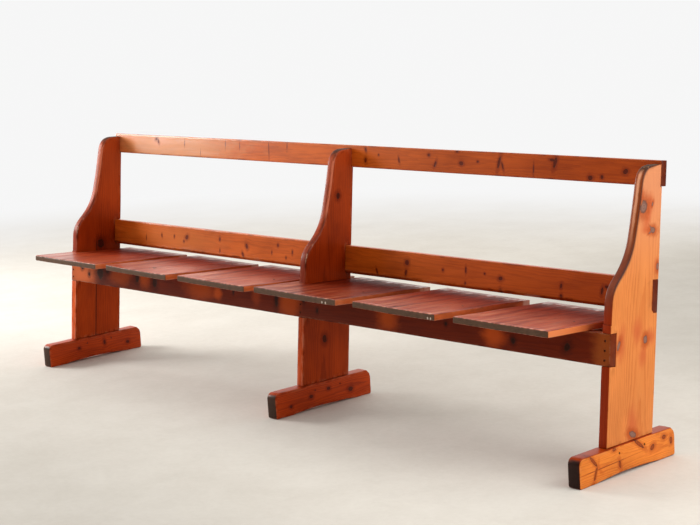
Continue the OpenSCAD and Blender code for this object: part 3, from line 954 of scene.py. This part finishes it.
def board(i, cup, lift, tilt, seed, light=SEAT_L, dark=SEAT_D):
    """A seat board, cupped, lifted and tilted by metres, with its notch for a standard."""
    node = f"seat_board_{i}"
    lo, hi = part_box(node)
    x0, x1 = lo.x, hi.x
    s = outline(node, 1)
    ft = max((p for p in s if p[0] < (lo.y + hi.y) / 2), key=lambda p: p[1])
    length = (hi.y - lo.y) / BACK.y
    thick = (ft[1] - min(p[1] for p in s if p[0] < (lo.y + hi.y) / 2)) * BACK.y
    cut = None
    start = 0.0
    if i in notched:
        a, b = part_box(notched[i])
        cut = (a.x - 0.001, b.x + 0.001)
        ys = [v.co.y for v in nodes[node].data.vertices
              if cut[0] - 0.002 < v.co.x < cut[1] + 0.002 and v.co.y > lo.y + 0.05]
        start = (min(ys) - lo.y) / BACK.y
    xs = [x0 + (x1 - x0) * k / 22 for k in range(23)]
    xs += [x0 + 0.006, x1 - 0.006]
    if cut:
        for c in cut:
            if x0 < c < x1:
                xs = [x for x in xs if abs(x - c) > 0.007] + [c]
    xs = sorted(xs)
    vs = [length * k / 24 for k in range(25)] + [0.006, length - 0.006]
    if cut:
        vs = [v for v in vs if abs(v - start) > 0.007] + [start]
    vs = sorted(vs)
    bm = bmesh.new()
    wide = x1 - x0
    grid = {}

    def point(x, v, level):
        u = (x - x0) / wide * 2 - 1
        h = cup * (u * u - 0.45) + tilt * u + lift
        h += 0.0007 * noise.noise(Vector((x * 6 + seed, v * 5, 0)))
        vv = v
        if v == 0:
            vv = 0.0012 * noise.noise(Vector((x * 22 + seed, 1, 0))) + 0.0012
            vv += 0.0012 * noise.noise(Vector((x * 5 + seed, 9, 0)))
            h -= 0.0008 * (noise.noise(Vector((x * 14 + seed, 4, 0))) + 0.5) * level
        return Vector((x, ft[0], ft[1])) + BACK * vv + SEAT_UP * (h - (0 if level else thick))

    for a, x in enumerate(xs):
        for b, v in enumerate(vs):
            for level in (0, 1):
                grid[a, b, level] = bm.verts.new(point(x, v, level))
    cells = set()
    for a in range(len(xs) - 1):
        for b in range(len(vs) - 1):
            cx, cv = (xs[a] + xs[a + 1]) / 2, (vs[b] + vs[b + 1]) / 2
            if cut and cv > start and (cut[0] < cx < cut[1] or i == 1 and cx < cut[1]):
                continue
            cells.add((a, b))
    mids = {}

    def mid(k):
        if k not in mids:
            mids[k] = bm.verts.new((grid[k + (0,)].co + grid[k + (1,)].co) / 2)
        return mids[k]

    for a, b in cells:
        g = grid
        bm.faces.new((g[a, b, 1], g[a + 1, b, 1], g[a + 1, b + 1, 1], g[a, b + 1, 1]))
        bm.faces.new((g[a, b, 0], g[a, b + 1, 0], g[a + 1, b + 1, 0], g[a + 1, b, 0]))
        for da, db, p, q in ((-1, 0, (a, b), (a, b + 1)), (1, 0, (a + 1, b + 1), (a + 1, b)),
                             (0, -1, (a + 1, b), (a, b)), (0, 1, (a, b + 1), (a + 1, b + 1))):
            if (a + da, b + db) not in cells:
                bm.faces.new((g[p + (1,)], g[q + (1,)], mid(q), mid(p)))
                bm.faces.new((mid(p), mid(q), g[q + (0,)], g[p + (0,)]))
    bmesh.ops.delete(bm, geom=[v for v in bm.verts if not v.link_faces], context="VERTS")
    bmesh.ops.recalc_face_normals(bm, faces=bm.faces)
    bm.normal_update()
    sharp = [e for e in bm.edges if len(e.link_faces) == 2 and e.calc_face_angle() > 0.8]
    layer = bm.verts.layers.float.new("edge")
    done = bmesh.ops.bevel(bm, geom=sharp, offset=BOARD_ARRIS, segments=3, profile=0.55,
                           affect="EDGES", clamp_overlap=True)
    for v in bm.verts:
        v[layer] = 0.0
    for v in done["verts"]:
        v[layer] = 1.0
        # dents and wear along the arrises
        w = noise.noise(Vector((v.co.x * 24 + seed, v.co.y * 24, v.co.z * 24)))
        w += noise.noise(Vector((v.co.x * 17 + seed, v.co.y * 17, 2)))
        v.co -= v.normal * max(0.0, 0.0005 * (w - 0.1))
    mat = wood(f"pine_seat_board_{i}", BACK, X, (1000 * (x0 + x1) / 2, 1000 * ft[0],
                                                 1000 * ft[1]), light, dark, END_SEAT,
               spacing=6, pith=(30 - 12 * (i % 3), -60), ring=0.42, streak=0.3,
               mottle=0.25, rough=0.46, coat=0.56, coat_rough=0.2, seed=seed,
               extra=seat_wear_and_painted_light(0.8 if i == 6 else 0.2, board_marks.get(i, ())))
    return make(f"visual_seat_board_{i}", bm, mat, "wood_seat", node)


board(1, 0.0005, 0.0, 0.0, 21)
board(2, 0.001, 0.0005, -0.002, 22)
board(3, 0.001, 0.0005, -0.002, 23)
board(4, 0.001, 0.0005, -0.002, 24, srgb(148, 50, 15), srgb(80, 17, 5))
board(5, 0.001, 0.0005, -0.002, 25)
board(6, 0.0005, 0.0, -0.001, 26)

# ---------------------------------------------------------------- nails
t = material("dark_nail_steel")
co = t.new("ShaderNodeTexCoord").outputs["Object"]
rust = t.noise(t.v("SCALE", co, scale=900.0), 1.0, 4.0, 0.6)
bs = t.new("ShaderNodeBsdfPrincipled")
t.put(bs.inputs["Base Color"], t.ramp(rust, [(0.3, (0.012, 0.009, 0.008)),
                                             (0.7, (0.06, 0.025, 0.014))]))
t.put(bs.inputs["Roughness"], t.mad(rust, 0.4, 0.35))
bs.inputs["Metallic"].default_value = 0.6
t.put(t.out.inputs[0], bs.outputs[0])
for n in ("beam_nails", "lower_rail_nails", "top_rail_nails", "seat_board_nails", "foot_nails"):
    ob = nodes[n]
    ob.data.materials.clear()
    ob.data.materials.append(t.owner)

# ---------------------------------------------------------------- stage, light and camera
az, el, roll = math.radians(47.592), math.radians(9.57), math.radians(-3.311)
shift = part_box("foot_right")[1].y - 0.096
back_dir = Vector((math.sin(az) * math.cos(el), -math.cos(az) * math.cos(el), math.sin(el)))
aim = Vector((0.19412, -0.1 + shift, 0.50466))
cam = bpy.data.cameras.new("camera")
cam.sensor_width = 36
cam.lens = 1710.933 * 36 / 700
camo = bpy.data.objects.new("camera", cam)
scene.collection.objects.link(camo)
right = (-back_dir).cross(Z).normalized()
up = right.cross(-back_dir)
r2 = right * math.cos(roll) + up * math.sin(roll)
u2 = -right * math.sin(roll) + up * math.cos(roll)
rot = Matrix((r2, u2, back_dir)).transposed()
camo.matrix_world = Matrix.Translation(aim + back_dir * 5.63248) @ rot.to_4x4()
scene.camera = camo

# the studio: a pale floor that turns white further off, and a white surround
WHITE = 0.925


def ring_mesh(name, radii, mat, height=0.0, parts=64):
    bm = bmesh.new()
    rows = []
    for r in radii:
        rows.append([bm.verts.new((r * math.cos(2 * math.pi * k / parts),
                                   r * math.sin(2 * math.pi * k / parts), height))
                     for k in range(parts)] if r > 0 else [bm.verts.new((0, 0, height))])
    for a, b in zip(rows, rows[1:]):
        for k in range(parts):
            j = (k + 1) % parts
            if len(a) == 1:
                bm.faces.new((a[0], b[k], b[j]))
            else:
                bm.faces.new((a[k], b[k], b[j], a[j]))
    me = bpy.data.meshes.new(name)
    bm.to_mesh(me)
    bm.free()
    me.materials.append(mat)
    ob = bpy.data.objects.new(name, me)
    scene.collection.objects.link(ob)
    ob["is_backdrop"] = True
    return ob


def unlit(ob):
    for k in ("visible_diffuse", "visible_glossy", "visible_transmission",
              "visible_volume_scatter", "visible_shadow"):
        setattr(ob, k, False)


def white(t):
    em = t.new("ShaderNodeEmission")
    em.inputs["Color"].default_value = (1, 1, 1, 1)
    em.inputs["Strength"].default_value = WHITE
    return em.outputs[0]


t = material("white_surround")
t.put(t.out.inputs[0], white(t))
surround = t.owner
t = material("pale_floor")
co = t.new("ShaderNodeTexCoord").outputs["Object"]
cloud = t.noise(co, 1.1, 5.0, 0.6)
speck = t.noise(co, 45.0, 4.0, 0.7)
blot = t.noise(co, 6.0, 5.0, 0.65, 0.4)
dist = t.v("LENGTH", t.v("MULTIPLY", t.v("SUBTRACT", co, (0.9, 0.8, 0)), (0.6, 1, 0)))
k = t.step(t.mad(t.sub(cloud, 0.5), 0.6, dist), 2.2, 4.5)
k = t.m("MAXIMUM", k, t.step(t.v("LENGTH", co), 3.6, 6.2))
f = t.mad(speck, 0.25, t.mad(cloud, 0.4, t.mul(blot, 0.35)))
df = t.new("ShaderNodeBsdfDiffuse")
ground = t.mix(t.step(f, 0.3, 0.7), srgb(211, 205, 195), srgb(224, 219, 210))
# painted shade: the floor darker towards the front left and behind the right half of the bench
floor_painted_shade = t.mad(t.step(t.dot(co, (-0.3, -0.95, 0)), 0.2, 1.1), 0.19,
            t.mul(t.step(t.dot(co, (0.1, 1, 0)), 0.5, 1.6),
                t.mul(t.step(t.dot(co, (1, 0, 0)), -1.4, -0.1), 0.2)))
tone = t.sub(1.0, floor_painted_shade)
t.put(df.inputs["Color"], t.times(ground, t.xyz(tone, tone, tone)))
mx = t.new("ShaderNodeMixShader")
t.put(mx.inputs[0], k)
t.put(mx.inputs[1], df.outputs[0])
t.put(mx.inputs[2], white(t))
t.put(t.out.inputs[0], mx.outputs[0])
ring_mesh("floor", (0, 0.5, 1, 1.5, 2, 3, 4.2, 6.4), t.owner)
far = ring_mesh("floor_far", (6.4, 8, 20, 70), surround)
unlit(far)
bm = bmesh.new()
bmesh.ops.create_icosphere(bm, subdivisions=4, radius=69)
me = bpy.data.meshes.new("surround")
bm.to_mesh(me)
bm.free()
me.materials.append(surround)
dome = bpy.data.objects.new("surround", me)
scene.collection.objects.link(dome)
dome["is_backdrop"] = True
unlit(dome)


def lamp(name, pos, target, size, power, colour=(1, 1, 1)):
    li = bpy.data.lights.new(name, "AREA")
    li.shape = "RECTANGLE"
    li.size, li.size_y = size
    li.energy = power
    li.color = colour
    ob = bpy.data.objects.new(name, li)
    scene.collection.objects.link(ob)
    ob.location = pos
    ob.rotation_mode = "QUATERNION"
    ob.rotation_quaternion = (Vector(target) - Vector(pos)).to_track_quat("-Z", "Y")
    ob.visible_camera = False
    return ob


lamp("side", (3.1, 0.5, 1.6), (1.3, 0, 0.4), (1.6, 1.6), 26, (1, 0.98, 0.95))
lamp("window", (-4.15, -1.5, 1.72), (-0.4, 0.0, 1.2), (1.7, 1.3), 160)
# the room's light comes from above and from the left rear, little from the front
world = bpy.data.worlds.new("studio")
scene.world = world
t = Tree(world, "ShaderNodeOutputWorld")
d = t.new("ShaderNodeTexCoord").outputs["Generated"]
sky = t.step(t.dot(d, (-0.15, 0.15, 0.97)), 0.2, 1.0)
rear = t.mul(t.step(t.dot(d, (-0.72, 0.68, 0.12)), 0.35, 0.95), 0.85)
side = t.mul(t.step(t.dot(d, (0.9, -0.1, 0.4)), 0.5, 1.0), 0.5)
total = t.add(t.add(t.add(sky, rear), side), 0.12)
bg = t.new("ShaderNodeBackground")
bg.inputs["Color"].default_value = (1, 0.985, 0.96, 1)
t.put(bg.inputs["Strength"], total)
t.put(t.out.inputs[0], bg.outputs[0])
scene.view_settings.view_transform = "Standard"
scene.view_settings.look = "None"

lo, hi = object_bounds()
